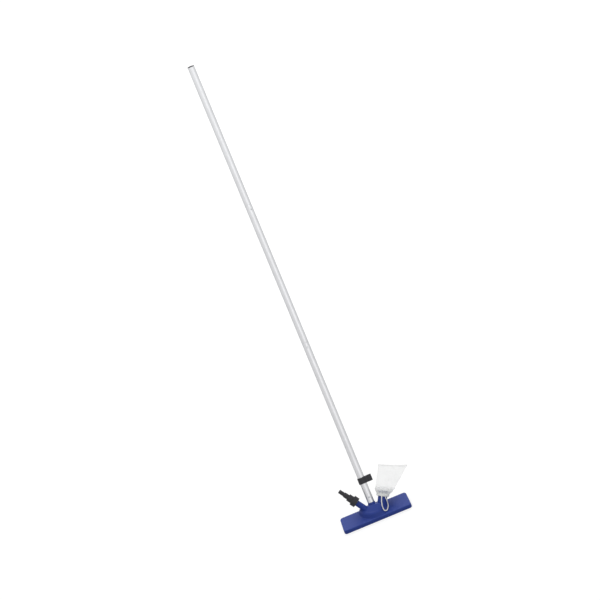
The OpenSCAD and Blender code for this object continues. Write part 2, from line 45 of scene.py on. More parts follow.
view_roll = radians(22.5)
photo_pixels = 600
metres_per_pixel = 0.00431
head_pixel = Vector((376.4, 514.8))
lens_mm, sensor_mm = 600, 36

level_right = Vector((1, 0, 0))
level_up = Vector((0, sin(view_rise), cos(view_rise)))
camera_right = level_right * cos(view_roll) - level_up * sin(view_roll)
camera_up = level_right * sin(view_roll) + level_up * cos(view_roll)
camera_back = camera_right.cross(camera_up)
to_middle = (Vector((photo_pixels / 2, photo_pixels / 2)) - head_pixel) * metres_per_pixel
aim = camera_right * to_middle.x - camera_up * to_middle.y
distance = lens_mm / sensor_mm * photo_pixels * metres_per_pixel

camera = bpy.data.objects.new("photo_camera", bpy.data.cameras.new("photo_camera"))
camera.data.lens, camera.data.sensor_width = lens_mm, sensor_mm
camera.data.clip_start, camera.data.clip_end = 1, 200
camera.matrix_world = Matrix.Translation(aim + camera_back * distance) @ Matrix(
    (camera_right, camera_up, camera_back)
).transposed().to_4x4()
bpy.context.scene.collection.objects.link(camera)
bpy.context.scene.camera = camera

# Head: one moulding of blue satin plastic, a flat plate with a skirt and a domed hub that the three tubes
# grow out of. The hub runs into the plate in a small fillet, and the moulding is hollow underneath.
head_front, head_back, head_depth = 0.314, 0.306, 0.095
head_top, skirt_foot, block_foot = 0.020, 0.002, -0.010
corner_r, edge_r, shell_wall = 0.012, 0.004, 0.0026
hub_back, hub_half_width, hub_length = 0.032, 0.070, 0.076
crease_z, hub_lean = 0.042, 0.013
crease_edge_drop, crease_edge_in, crease_top_in = 0.005, hub_lean - 0.003, hub_lean + 0.004
dome_drop, dome_in = 0.003, hub_lean + 0.001
pole_tilt = radians(55)
inlet_offset, inlet_angle = -0.0155, radians(-34)
outlet_offset, outlet_angle = 0.029, radians(29)
pole_foot_at, pole_foot_r = 0.033, 0.0185
inlet_foot_at, inlet_foot_r = 0.026, 0.016
outlet_foot_at, outlet_foot_r = 0.024, 0.023
foot_band = 0.003
skin_voxel = 0.0012
blue_colour = (31, 56, 138)
blue_worn = (44, 69, 147)


def fan_axis(offset, angle):
    """Frame of one of the hub's tubes: z runs out along it and -y faces the front."""
    return (
        Matrix.Translation((offset, 0, head_top))
        @ Matrix.Rotation(pole_tilt - pi / 2, 4, "X")
        @ Matrix.Rotation(angle, 4, "Y")
    )


pole_axis = fan_axis(0, 0)
inlet_axis = fan_axis(inlet_offset, inlet_angle)
outlet_axis = fan_axis(outlet_offset, outlet_angle)


def rounded(form, edges, radius, segments):
    """Rounds the given edges of a form."""
    bmesh.ops.bevel(
        form, geom=edges, offset=radius, affect="EDGES", segments=segments, profile=0.5, material=-1
    )


def hub_outline(form, z, inset):
    """A level half ellipse of the hub, flat at the back and set in from the hub's foot."""
    place = Matrix.Translation((0, hub_back, z)) @ Matrix.Diagonal(
        (hub_half_width - inset, hub_length - inset, 1, 1)
    )
    ring = bmesh.ops.create_circle(form, segments=72, radius=1, matrix=place)["verts"]
    behind = [v for v in ring if v.co.y > hub_back]
    bmesh.ops.scale(form, vec=(1, 0, 1), verts=behind, space=Matrix.Translation((0, -hub_back, 0)))
    return ring


def tube_foot(form, axis, at, radius):
    """Two rings of the hub round the foot of a tube."""
    rings = []
    for height in (at - foot_band, at):
        place = axis @ Matrix.Translation((0, 0, height))
        rings += bmesh.ops.create_circle(form, segments=48, radius=radius, matrix=place)["verts"]
    return rings


def wrapped(form, points):
    """Wraps a tight skin round the points."""
    skin = bmesh.ops.convex_hull(form, input=points)
    spare = [p for p in skin["geom_interior"] + skin["geom_unused"] if isinstance(p, bmesh.types.BMVert)]
    bmesh.ops.delete(form, geom=list(set(spare)), context="VERTS")


def new_piece(name, form, material, body):
    """Makes a finished object of a form, on its body and with its finish."""
    mesh = bpy.data.meshes.new(name)
    for face in form.faces:
        face.smooth = True
    form.to_mesh(mesh)
    form.free()
    mesh.materials.append(material)
    piece = bpy.data.objects.new(name, mesh)
    bpy.context.scene.collection.objects.link(piece)
    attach(piece, body)
    return piece


def crisp(piece, angle):
    """Keeps edges sharper than the angle crisp under smooth shading."""
    piece.modifiers.new("crisp_edges", "EDGE_SPLIT").split_angle = radians(angle)


def srgb(red, green, blue):
    """A colour as it shows on a screen, as the shader's linear colour."""
    return (*(((c / 255 + 0.055) / 1.055) ** 2.4 for c in (red, green, blue)), 1)


def node(tree, kind, inputs=(), **settings):
    """Adds a shader node, with its inputs as plain values or as links from other nodes."""
    made = tree.nodes.new("ShaderNode" + kind)
    for name, value in settings.items():
        setattr(made, name, value)
    for name, value in dict(inputs).items():
        if isinstance(value, bpy.types.NodeSocket):
            tree.links.new(value, made.inputs[name])
        else:
            made.inputs[name].default_value = value
    return made


def new_material(name):
    """A new material, its node tree and its shader."""
    material = bpy.data.materials.new(name)
    material.use_nodes = True
    return material, material.node_tree, material.node_tree.nodes["Principled BSDF"]


def moulded_plastic(name, colour, worn, roughness, shine, grain, grain_size):
    """Moulded plastic: faintly cloudy colour, hairline scuffs and the grain of the mould's surface."""
    material, tree, shader = new_material(name)
    place = node(tree, "TexCoord").outputs["Object"]
    cloud = node(tree, "TexNoise", {"Vector": place, "Scale": 18, "Detail": 3}).outputs[0]
    cloudy = node(
        tree, "MapRange", {"Value": cloud, "From Min": 0.35, "From Max": 0.7, "To Max": 0.22}
    ).outputs[0]
    stretch = node(
        tree, "Mapping", {"Vector": place, "Rotation": (0.2, 0.3, 0.7), "Scale": (9, 1500, 1500)}
    ).outputs[0]
    hairline = node(tree, "TexNoise", {"Vector": stretch, "Scale": 1, "Detail": 1}).outputs[0]
    scuffed = node(
        tree, "MapRange", {"Value": hairline, "From Min": 0.66, "From Max": 0.8, "To Max": 0.5}
    ).outputs[0]
    wear = node(tree, "Math", {0: scuffed, 1: cloudy}, operation="MAXIMUM").outputs[0]
    mix = node(tree, "Mix", {0: wear, 6: srgb(*colour), 7: srgb(*worn)}, data_type="RGBA")
    tree.links.new(mix.outputs[2], shader.inputs["Base Color"])
    rough = node(
        tree, "MapRange", {"Value": wear, "To Min": roughness, "To Max": roughness + 0.2}
    ).outputs[0]
    tree.links.new(rough, shader.inputs["Roughness"])
    pores = node(tree, "TexNoise", {"Vector": place, "Scale": grain_size, "Detail": 2}).outputs[0]
    bump = node(tree, "Bump", {"Strength": grain, "Distance": 0.0001, "Height": pores}).outputs[0]
    tree.links.new(bump, shader.inputs["Normal"])
    shader.inputs["Specular IOR Level"].default_value = shine
    return material


blue_plastic = moulded_plastic(
    "blue_plastic", blue_colour, blue_worn, roughness=0.48, shine=0.29, grain=0.12, grain_size=1500
)

forms = bmesh.new()
bmesh.ops.create_cube(
    forms,
    size=1,
    matrix=Matrix.Translation((0, 0, (head_top + block_foot) / 2))
    @ Matrix.Diagonal((head_front, head_depth, head_top - block_foot, 1)),
)
bmesh.ops.scale(forms, vec=(head_back / head_front, 1, 1), verts=[v for v in forms.verts if v.co.y > 0])
upright = [e for e in forms.edges if abs(e.verts[0].co.z - e.verts[1].co.z) > edge_r]
rounded(forms, upright, corner_r, 10)
top_rim = [e for e in forms.edges if all(v.co.z > head_top - 1e-6 for v in e.verts)]
rounded(forms, top_rim, edge_r, 6)
wrapped(
    forms,
    hub_outline(forms, head_top - shell_wall, 0)
    + hub_outline(forms, crease_z - crease_edge_drop, crease_edge_in)
    + hub_outline(forms, crease_z, crease_top_in),
)
wrapped(
    forms,
    hub_outline(forms, crease_z - dome_drop, dome_in)
    + tube_foot(forms, pole_axis, pole_foot_at, pole_foot_r)
    + tube_foot(forms, inlet_axis, inlet_foot_at, inlet_foot_r)
    + tube_foot(forms, outlet_axis, outlet_foot_at, outlet_foot_r),
)
blank_mesh = bpy.data.meshes.new("head_forms")
forms.to_mesh(blank_mesh)
forms.free()
blank = bpy.data.objects.new("head_forms", blank_mesh)
bpy.context.scene.collection.objects.link(blank)
remesh = blank.modifiers.new("one_skin", "REMESH")
remesh.mode, remesh.voxel_size = "VOXEL", skin_voxel
shell = bmesh.new()
shell.from_object(blank, bpy.context.evaluated_depsgraph_get())
bpy.data.objects.remove(blank)

flat_y, fillet_reach, fillet_rise, skin_slack = 0.0425, 0.080, 0.006, 0.0003
hub_rounds, foot_rounds = 2, 1
hub_skin = [v for v in shell.verts if v.co.z > head_top + skin_slack]
hub_foot = [
    v for v in shell.verts
    if head_top - skin_slack < v.co.z < head_top + fillet_rise
    and abs(v.co.y) < flat_y
    and abs(v.co.x) < fillet_reach
]
for softened, rounds in ((hub_skin, hub_rounds), (hub_foot, foot_rounds)):
    for _ in range(rounds):
        bmesh.ops.smooth_vert(
            shell, verts=softened, factor=0.5, use_axis_x=True, use_axis_y=True, use_axis_z=True
        )
bmesh.ops.bisect_plane(
    shell,
    geom=shell.verts[:] + shell.edges[:] + shell.faces[:],
    plane_co=(0, 0, skirt_foot),
    plane_no=(0, 0, -1),
    clear_outer=True,
)
tube_holes = ((pole_axis, 0.0150, 0.025), (inlet_axis, 0.0105, 0.020), (outlet_axis, 0.0187, 0.020))
for axis, hole_r, hole_from in tube_holes:
    to_axis = axis.inverted()
    bored = []
    for face in shell.faces:
        at = to_axis @ face.calc_center_median()
        if at.z > hole_from and at.xy.length < hole_r:
            bored.append(face)
    bmesh.ops.delete(shell, geom=bored, context="FACES")
head = new_piece("head_moulding", shell, blue_plastic, "head_and_pole")
wall = head.modifiers.new("wall", "SOLIDIFY")
wall.thickness, wall.offset = shell_wall, -1
crisp(head, 50)
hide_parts("head_shell")

# Fittings moulded with the head: the outlet tube, the inlet pipe with its thread, and the spigot with a
# collar that the pole stands on. Their rims are rounded.
weld_reach, flat_angle, sharp_angle = 1e-5, radians(0.4), radians(35)


def eased_copy(cad_name, name, radius, material, body):
    """Copies a CAD part, joins its faces and rounds its sharp edges."""
    form = bmesh.new()
    form.from_mesh(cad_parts[cad_name].data)
    bmesh.ops.remove_doubles(form, verts=form.verts[:], dist=weld_reach)
    bmesh.ops.dissolve_limit(
        form,
        angle_limit=flat_angle,
        verts=form.verts[:],
        edges=form.edges[:],
        use_dissolve_boundaries=False,
    )
    sharp = [e for e in form.edges if e.is_manifold and e.calc_face_angle(0) > sharp_angle]
    rounded(form, sharp, radius, 3)
    piece = new_piece(name, form, material, body)
    piece.modifiers.new("flat_faces", "WEIGHTED_NORMAL").keep_sharp = True
    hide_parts(cad_name)
    return piece


eased_copy("outlet_tube", "outlet_spout", 0.0006, blue_plastic, "head_and_pole")
eased_copy("inlet_pipe", "inlet_stub", 0.0003, blue_plastic, "head_and_pole")
eased_copy("pole_spigot", "pole_socket", 0.0005, blue_plastic, "head_and_pole")

# Base: a flat blue cover inside the skirt, with suction slots and glide ribs. Eight cross-headed steel
# screws in countersunk holes hold it up to the head's posts.


def metal(name, low, high, edge, roughness, lines):
    """Bare metal: fine drawn lines along the pole, a painted shade that darkens its colour lower down, and
    a duller grazing reflection.
    """
    line_width, line_length = 1 / 1400, 1 / 6
    material, tree, shader = new_material(name)
    place = node(tree, "TexCoord").outputs["Object"]
    along = node(
        tree,
        "Mapping",
        {
            "Vector": place,
            "Rotation": (pole_tilt - pi / 2, 0, 0),
            "Scale": (line_width, line_width, line_length),
        },
        vector_type="TEXTURE",
    ).outputs[0]
    drawn = node(tree, "TexNoise", {"Vector": along, "Scale": 1, "Detail": 4}).outputs[0]
    cloud = node(tree, "TexNoise", {"Vector": place, "Scale": 30, "Detail": 3}).outputs[0]
    rough = node(
        tree,
        "MapRange",
        {
            "Value": drawn,
            "From Min": 0.3,
            "From Max": 0.7,
            "To Min": roughness,
            "To Max": roughness + 0.14,
        },
    ).outputs[0]
    tree.links.new(rough, shader.inputs["Roughness"])
    # Painted shade: the base colour runs from low at the floor to high 1.7 m up, so the metal is darker
    # lower down.
    height = node(tree, "SeparateXYZ", {0: place}).outputs[2]
    shade = node(
        tree, "MapRange", {"Value": cloud, "From Min": 0.3, "From Max": 0.7, "To Max": 0.25}
    ).outputs[0]
    level = node(tree, "MapRange", {"Value": height, "From Max": 1.7, "To Max": 0.75}).outputs[0]
    tone = node(tree, "Math", {0: shade, 1: level}).outputs[0]
    mix = node(tree, "Mix", {0: tone, 6: srgb(*low), 7: srgb(*high)}, data_type="RGBA")
    tree.links.new(mix.outputs[2], shader.inputs["Base Color"])
    bump = node(tree, "Bump", {"Strength": lines, "Distance": 0.00005, "Height": drawn}).outputs[0]
    tree.links.new(bump, shader.inputs["Normal"])
    shader.inputs["Metallic"].default_value = 1
    shader.inputs["Specular Tint"].default_value = srgb(*edge)
    return material


eased_copy("base_plate", "base_cover", 0.0004, blue_plastic, "head_and_pole")
# low and high: painted shade, the steel darker nearer the floor.
steel = metal(
    "stainless_steel",
    low=(188, 190, 192),
    high=(200, 202, 204),
    edge=(170, 172, 175),
    roughness=0.22,
    lines=0.15,
)
eased_copy("base_screws", "cover_screws", 0.0001, steel, "head_and_pole")

# Jets and washer: three brass nozzles on the inlet's branch inside the head, and a black rubber washer
# between the inlet's thread and the adaptor.


def dress(material, *nodes):
    """Gives CAD parts their finish."""
    for name in nodes:
        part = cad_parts[name]
        part.data.materials.clear()
        part.data.materials.append(material)


# low and high: painted shade, the brass darker nearer the floor.
brass = metal(
    "brass", low=(188, 156, 86), high=(200, 168, 96), edge=(180, 150, 90), roughness=0.25, lines=0.1
)
dress(brass, "jet_nozzles")
rubber = moulded_plastic(
    "black_rubber", (26, 26, 26), (40, 40, 40), roughness=0.7, shine=0.2, grain=0.5, grain_size=1600
)
dress(rubber, "inlet_washer")

# Hose adaptor: charcoal plastic, a fluted collar that screws onto the inlet stub and a tail with three
# steps for three sizes of garden hose.
charcoal_plastic = moulded_plastic(
    "charcoal_plastic", (57, 57, 61), (74, 74, 78), roughness=0.5, shine=0.2, grain=0.3, grain_size=2200
)
eased_copy("adaptor_tail", "hose_tail", 0.0007, charcoal_plastic, "head_and_pole")
eased_copy("adaptor_collar", "screw_collar", 0.0003, charcoal_plastic, "collar")

# Pole: three drawn tubes of pale anodised aluminium, each necked down into the one below it, locked by
# sprung steel buttons and closed at the top by a charcoal plastic cap.
# low and high: painted shade, the pole darker at its foot and lighter towards its top.
aluminium = metal(
    "anodised_aluminium",
    low=(202, 202, 204),
    high=(221, 222, 224),
    edge=(150, 152, 156),
    roughness=0.4,
    lines=0.12,
)
dress(aluminium, "pole_lower", "pole_middle", "pole_upper")
dress(steel, "head_spring", "lower_spring", "upper_spring")
for place in ("head", "lower", "upper"):
    eased_copy(place + "_button", place + "_lock_button", 0.0003, steel, place + "_button")
eased_copy("pole_end_cap", "pole_cap", 0.0006, charcoal_plastic, "head_and_pole")

# Hose clip: springy charcoal plastic, a ring that slides on the pole and an open jaw for the garden hose.
# It has one section over its whole length, and the edges of its two ends are rounded.
clip_edge_r, clip_edge_steps, clip_shortest_edge = 0.0004, 3, 0.0004
pole_way = pole_axis.to_3x3() @ Vector((0, 0, 1))
clip = bmesh.new()
clip.from_mesh(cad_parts["hose_clip"].data)
bmesh.ops.remove_doubles(clip, verts=clip.verts[:], dist=clip_shortest_edge)
for way in (pole_way, -pole_way):
    clip.normal_update()
    end = [f for f in clip.faces if f.normal.dot(way) > 0.9]
    bmesh.ops.translate(clip, vec=-way * clip_edge_r, verts=list({v for f in end for v in f.verts}))
    for step in range(clip_edge_steps):
        from_turn, to_turn = (pi / 2 * k / clip_edge_steps for k in (step, step + 1))
        bmesh.ops.inset_region(
            clip,
            faces=end,
            thickness=clip_edge_r * (cos(from_turn) - cos(to_turn)),
            depth=clip_edge_r * (sin(to_turn) - sin(from_turn)),
            use_boundary=True,
            use_even_offset=True,
        )
for edge in clip.edges:
    edge.smooth = edge.calc_face_angle(0) < sharp_angle
clip_piece = new_piece("pole_hose_clip", clip, charcoal_plastic, "clip")
clip_piece.modifiers.new("flat_faces", "WEIGHTED_NORMAL").keep_sharp = True
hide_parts("hose_clip")

# Debris bag: fine white nylon net, one cloth folded over and sewn along its closed end. It is gathered onto
# the outlet by a drawstring in its hem, and the water that leaves the outlet fills it.
# Each station gives a distance along the outlet, half the width and depth there, and the sideways drift.
hem_from, hem_height, hem_wall, outlet_r = 0.056, 0.012, 0.007, 0.0203
bag_end, seam_height, seam_depth, seam_dip = 0.190, 0.007, 0.005, 0.002
bag_columns, bag_rows = 156, 56
cloth_round, cloth_along, cloth_fill = 0.258, 0.140, 0.85
bag_stations = (
    (0.060, 0.0238, 0.0238, 0.0000),
    (0.068, 0.0266, 0.0266, 0.0000),
    (0.076, 0.0350, 0.0282, 0.0012),
    (0.085, 0.0400, 0.0285, 0.0030),
    (0.110, 0.0446, 0.0245, 0.0098),
    (0.140, 0.0512, 0.0163, 0.0158),
    (0.165, 0.0560, 0.0094, 0.0212),
    (0.180, 0.0600, 0.0054, 0.0250),
    (0.190, 0.0634, 0.0024, 0.0275),
)
bag_lean = radians(6)
net_pitch, thread_blur = 0.0011, 0.12
gather_from, gather_to = 0.008, 0.045


def bag_section(at):
    """Half width, half depth and sideways drift of the bag at a distance along the outlet."""
    for low, high in zip(bag_stations, bag_stations[1:]):
        if at <= high[0] + 1e-9:
            share = (at - low[0]) / (high[0] - low[0])
            return [a + (b - a) * share for a, b in zip(low[1:], high[1:])]


def net_cloth(name, colour, thread, hole):
    """Woven net on the cloth's own map, in metres: raised threads, and holes that the gathers close."""
    material, tree, shader = new_material(name)
    laid = node(tree, "UVMap").outputs[0]
    flat = node(tree, "SeparateXYZ", {0: laid}).outputs
    ridges = []
    for way in (flat[0], flat[1]):
        turns = node(tree, "Math", {0: way, 1: 2 / net_pitch}, operation="MULTIPLY").outputs[0]
        beat = node(tree, "Math", {0: turns, 1: 1.0}, operation="PINGPONG").outputs[0]
        ridges.append(
            node(
                tree,
                "MapRange",
                {
                    "Value": beat,
                    "From Min": 1 - thread - thread_blur,
                    "From Max": 1 - thread + thread_blur,
                },
            ).outputs[0]
        )
    threads = node(tree, "Math", {0: ridges[0], 1: ridges[1]}, operation="MAXIMUM").outputs[0]
    bunched = node(tree, "TexNoise", {"Vector": laid, "Scale": 150, "Detail": 1}).outputs[0]
    closed = node(
        tree,
        "MapRange",
        {"Value": bunched, "From Min": 0.35, "From Max": 0.6, "To Min": 0.72, "To Max": 1.0},
    ).outputs[0]
    near_hem = node(
        tree,
        "MapRange",
        {"Value": flat[1], "From Min": gather_from, "From Max": gather_to, "To Min": 1, "To Max": 0},
    ).outputs[0]
    gathered = node(tree, "Mix", {0: near_hem, 2: hole, 3: closed}).outputs[0]
    cover = node(tree, "Math", {0: threads, 1: gathered}, operation="MAXIMUM").outputs[0]
    tree.links.new(cover, shader.inputs["Alpha"])
    place = node(tree, "TexCoord").outputs["Object"]
    cloud = node(tree, "TexNoise", {"Vector": place, "Scale": 45, "Detail": 3}).outputs[0]
    tone = node(tree, "MapRange", {"Value": cloud, "From Min": 0.3, "From Max": 0.7}).outputs[0]
    soft = tuple(c * 0.95 for c in srgb(*colour)[:3]) + (1,)
    mix = node(tree, "Mix", {0: tone, 6: soft, 7: srgb(*colour)}, data_type="RGBA")
    tree.links.new(mix.outputs[2], shader.inputs["Base Color"])
    bump = node(tree, "Bump", {"Strength": 0.5, "Distance": 0.0002, "Height": threads}).outputs[0]
    tree.links.new(bump, shader.inputs["Normal"])
    shader.inputs["Roughness"].default_value = 0.75
    shader.inputs["Sheen Weight"].default_value = 0.3
    shader.inputs["Specular IOR Level"].default_value = 0.2
    return material


white_net = net_cloth("white_net", (253, 254, 253), thread=0.1, hole=0.03)
bag = bmesh.new()
rings = []
for row in range(bag_rows + 1):
    at = bag_stations[0][0] + (bag_end - bag_stations[0][0]) * row / bag_rows
    half_width, half_depth, drift = bag_section(at)
    rise = max(0, at - hem_from - hem_height) / (bag_end - hem_from - hem_height)
    place = (
        outlet_axis
        @ Matrix.Translation((drift, 0, at))
        @ Matrix.Rotation(-bag_lean * rise, 4, "Y")
        @ Matrix.Diagonal((half_width, half_depth, 1, 1))
    )
    rings.append(bmesh.ops.create_circle(bag, segments=bag_columns, radius=1, matrix=place)["verts"])
ring_edges = [[e for e in bag.edges if e.verts[0] in ring] for ring in map(set, rings)]
for lower, upper in zip(ring_edges, ring_edges[1:]):
    bmesh.ops.bridge_loops(bag, edges=lower + upper)
bmesh.ops.recalc_face_normals(bag, faces=bag.faces[:])
bag.verts.index_update()
cloth_map = bag.loops.layers.uv.new("cloth")
for face in bag.faces:
    columns = [loop.vert.index % bag_columns for loop in face.loops]
    wraps = max(columns) - min(columns) > bag_columns / 2
    for loop, column in zip(face.loops, columns):
        turn = column + bag_columns if wraps and column < bag_columns / 2 else column
        loop[cloth_map].uv = (
            turn / bag_columns * cloth_round,
            loop.vert.index // bag_columns / bag_rows * cloth_along,
        )
to_outlet = outlet_axis.inverted()
pleats, pleat_depth, pleat_length = 23, 0.0016, 0.016
fold_depth, fold_length, fold_start = 0.0045, 0.050, 0.008
folds_round, folds_along, fold_seed = 3.2, 6, 7
crumple, crumples_across, crumples_along = 0.0016, 28, 16
for vert in bag.verts:
    at = to_outlet @ vert.co
    _, _, drift = bag_section(min(max(at.z, bag_stations[0][0]), bag_end))
    out = Vector((at.x - drift, at.y, 0))
    turn = atan2(out.y, out.x)
    height = max(0, at.z - hem_from - hem_height)
    rise = height / (bag_end - hem_from - hem_height)
    pleat = cos(pleats * turn) + 0.4 * cos(2 * pleats * turn + 1)
    ripple = pleat_depth * exp(-height / pleat_length) * pleat
    drape = fold_depth * exp(-height / fold_length) * min(1, height / fold_start)
    ripple += drape * noise.noise(
        Vector((cos(turn) * folds_round, sin(turn) * folds_round, fold_seed + height * folds_along))
    )
    slack = min(1, rise * 4) * max(0, min(1, (1 - rise) * 3))
    ripple += crumple * slack * noise.noise(
        Vector((at.x * crumples_across, at.y * crumples_across, at.z * crumples_along))
    )
    vert.co += outlet_axis.to_3x3() @ (out.normalized() * ripple)
bag_piece = new_piece("net_bag", bag, white_net, "bag")
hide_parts("debris_bag")

# Hem: the bag's mouth, its net rolled over the drawstring and sewn down. The string bunches it into small
# pleats round the outlet tube.
hem_net = net_cloth("hem_net", (254, 255, 254), thread=0.4, hole=0.85)
hem = bmesh.new()
string_r = outlet_r + hem_wall / 2
roll_steps, hem_steps = 28, 208
bunch_depth, hem_sway = 0.0007, 0.0006
roll = bmesh.ops.create_circle(
    hem,
    segments=roll_steps,
    radius=1,
    matrix=Matrix.Translation((string_r, 0, hem_from + hem_height / 2))
    @ Matrix.Rotation(pi / 2, 4, "X")
    @ Matrix.Diagonal((hem_wall / 2, hem_height / 2, 1, 1)),
)["verts"]
bmesh.ops.spin(
    hem,
    geom=roll + hem.edges[:],
    cent=(0, 0, 0),
    axis=(0, 0, 1),
    angle=2 * pi,
    steps=hem_steps,
    use_merge=True,
)
bmesh.ops.remove_doubles(hem, verts=hem.verts[:], dist=1e-6)
bmesh.ops.recalc_face_normals(hem, faces=hem.faces[:])
for vert in hem.verts:
    turn = atan2(vert.co.y, vert.co.x)
    out = Vector((vert.co.x, vert.co.y, 0)).normalized()
    outer = max(0, (vert.co.xy.length - string_r) / (hem_wall / 2))
    uneven = noise.noise(Vector((cos(turn) * 9, sin(turn) * 9, 1)))
    bunch = cos(2 * pleats * turn + 0.8 * sin(3 * turn)) + 0.5 * uneven
    vert.co += out * (bunch_depth * outer * bunch)
    vert.co.z += hem_sway * noise.noise(Vector((cos(turn) * 6, sin(turn) * 6, 4)))
bmesh.ops.transform(hem, matrix=outlet_axis, verts=hem.verts[:])
hem_map = hem.loops.layers.uv.new("cloth")
for face in hem.faces:
    places = [to_outlet @ loop.vert.co for loop in face.loops]
    turns = [atan2(at.y, at.x) for at in places]
    wraps = max(turns) - min(turns) > pi
    for loop, at, turn in zip(face.loops, places, turns):
        loop[hem_map].uv = ((turn + 2 * pi if wraps and turn < 0 else turn) * string_r, at.z)
hem_piece = new_piece("bag_hem_roll", hem, hem_net, "bag")
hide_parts("bag_hem")

# Closed end: both layers of net folded together into a flat binding, sewn through with white thread in one
# row of short stitches that shows on both faces.
binding_net = net_cloth("binding_net", (254, 255, 254), thread=0.14, hole=0.12)
seam = bmesh.new()
seam_width = 2 * bag_stations[-1][1]
binding_depth, binding_edge_r, binding_cuts = seam_depth * 0.7, 0.0012, 63
binding_sway, binding_wrinkle = 0.0006, 0.0004
bmesh.ops.create_cube(
    seam,
    size=1,
    matrix=Matrix.Translation((0, 0, seam_height / 2))
    @ Matrix.Diagonal((seam_width, binding_depth, seam_height, 1)),
)
lengthwise = [e for e in seam.edges if abs(e.verts[0].co.x - e.verts[1].co.x) > seam_width / 2]
bmesh.ops.subdivide_edges(seam, edges=lengthwise, cuts=binding_cuts, use_grid_fill=True)
corners = [e for e in seam.edges if e.is_manifold and e.calc_face_angle(0) > sharp_angle]
rounded(seam, corners, binding_edge_r, 3)


def binding_wave(x):
    """How the binding dips and waves at a place along it."""
    along = 2 * x / seam_width
    sway = binding_sway * sin(9 * along) + binding_wrinkle * noise.noise(Vector((x * 90, 0, 2)))
    return Vector((0, sway, -seam_dip * (1 - along * along)))


for vert in seam.verts:
    vert.co += binding_wave(vert.co.x)
seam_place = (
    outlet_axis
    @ Matrix.Translation((bag_stations[-1][3], 0, bag_end))
    @ Matrix.Rotation(-bag_lean, 4, "Y")
)
bmesh.ops.transform(seam, matrix=seam_place, verts=seam.verts[:])
seam_map = seam.loops.layers.uv.new("cloth")
to_seam = seam_place.inverted()
for face in seam.faces:
    for loop in face.loops:
        at = to_seam @ loop.vert.co
        loop[seam_map].uv = (at.x, cloth_along + at.z + at.y)
seam_piece = new_piece("bag_end_binding", seam, binding_net, "bag")
crisp(seam_piece, 60)
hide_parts("bag_seam")

stitch_pitch, stitch_length, thread_r = 0.0034, 0.0024, 0.00032
stitch_row = seam_height * 0.45
stitches = bmesh.new()
for k in range(int(seam_width / stitch_pitch) - 1):
    x = (k + 1) * stitch_pitch - seam_width / 2
    for side in (-1, 1):
        sewn = Vector((x, side * binding_depth / 2, stitch_row)) + binding_wave(x)
        bmesh.ops.create_uvsphere(
            stitches,
            u_segments=6,
            v_segments=5,
            radius=1,
            matrix=seam_place
            @ Matrix.Translation(sewn)
            @ Matrix.Diagonal((stitch_length / 2, thread_r, thread_r, 1)),
        )
thread, thread_tree, thread_shader = new_material("white_thread")
thread_place = node(thread_tree, "TexCoord").outputs["Object"]
twist = node(
    thread_tree,
    "TexWave",
    {"Vector": thread_place, "Scale": 900, "Distortion": 1, "Detail": 1},
    bands_direction="DIAGONAL",
).outputs["Fac"]
thread_mix = node(
    thread_tree, "Mix", {0: twist, 6: srgb(232, 232, 229), 7: srgb(252, 252, 250)}, data_type="RGBA"
)
thread_tree.links.new(thread_mix.outputs[2], thread_shader.inputs["Base Color"])
thread_shader.inputs["Roughness"].default_value = 0.6
stitch_piece = new_piece("bag_end_stitches", stitches, thread, "bag")

# Drawstring: soft white twisted cord. It runs round inside the hem, and its loop hangs out at the front,
# lies over the hub and on the head, and goes back into the hem.
cord_d, cord_lay, strands_deep = 0.0046, 0.015, 0.06
section_steps, hem_string_steps = 30, 150
cord_route = (
    (52, 11.5, 77), (50.5, 6, 76), (48, 3, 71.5), (45.5, 0, 66), (42.5, -4.5, 60.5), (40.5, -10, 55),
    (38.5, -15.5, 50), (37.5, -19.5, 43), (38, -25, 35.5), (40, -28, 28.5), (45.5, -28, 24),
    (51, -25, 23.5), (56.5, -17, 24), (60.5, -8, 24.5), (62.5, -1, 25.5), (64, 5, 28.5), (65, 7, 34.5),
    (65.5, 5.5, 42), (65.5, 4.5, 49.5), (65.5, 5, 55.5), (65, 5, 60.5), (65, 6.2, 64.8), (65.5, 8.5, 69),
)
cord_points = [Vector(p) / 1000 for p in cord_route]
span_steps = 8
cord_line = []
for i in range(len(cord_points) - 1):
    before, start, end, after = (
        cord_points[min(max(i + k, 0), len(cord_points) - 1)] for k in (-1, 0, 1, 2)
    )
    for step in range(span_steps):
        u = step / span_steps
        cord_line.append(
            start
            + (end - before) * (u / 2)
            + (before - start * 2.5 + end * 2 - after / 2) * (u * u)
            + (start * 1.5 - end * 1.5 + (after - before) / 2) * (u * u * u)
        )
cord_line.append(cord_points[-1])


def twisted_cord(name, line, closed):
    """Three strands twisted together along a line."""
    section = bpy.data.curves.new("strands", "CURVE")
    section.dimensions = "2D"
    lobes = section.splines.new("POLY")
    lobes.points.add(section_steps - 1)
    lobes.use_cyclic_u = True
    for k, point in enumerate(lobes.points):
        turn = 2 * pi * k / section_steps
        reach = cord_d / 2 * (1 - strands_deep + strands_deep * cos(3 * turn))
        point.co = (reach * cos(turn), reach * sin(turn), 0, 1)
    strands = bpy.data.objects.new("strands", section)
    path = bpy.data.curves.new(name, "CURVE")
    path.dimensions, path.use_fill_caps = "3D", not closed
    path.bevel_mode, path.bevel_object = "OBJECT", strands
    run = path.splines.new("POLY")
    run.points.add(len(line) - 1)
    run.use_cyclic_u = closed
    travelled = 0
    for k, (point, at) in enumerate(zip(run.points, line)):
        travelled += (at - line[max(k - 1, 0)]).length
        point.co, point.tilt = (*at, 1), 2 * pi * travelled / cord_lay
    drawn = bpy.data.objects.new(name, path)
    for part in (strands, drawn):
        bpy.context.scene.collection.objects.link(part)
    made = bmesh.new()
    made.from_mesh(drawn.evaluated_get(bpy.context.evaluated_depsgraph_get()).to_mesh())
    bpy.data.objects.remove(drawn)
    bpy.data.objects.remove(strands)
    return made


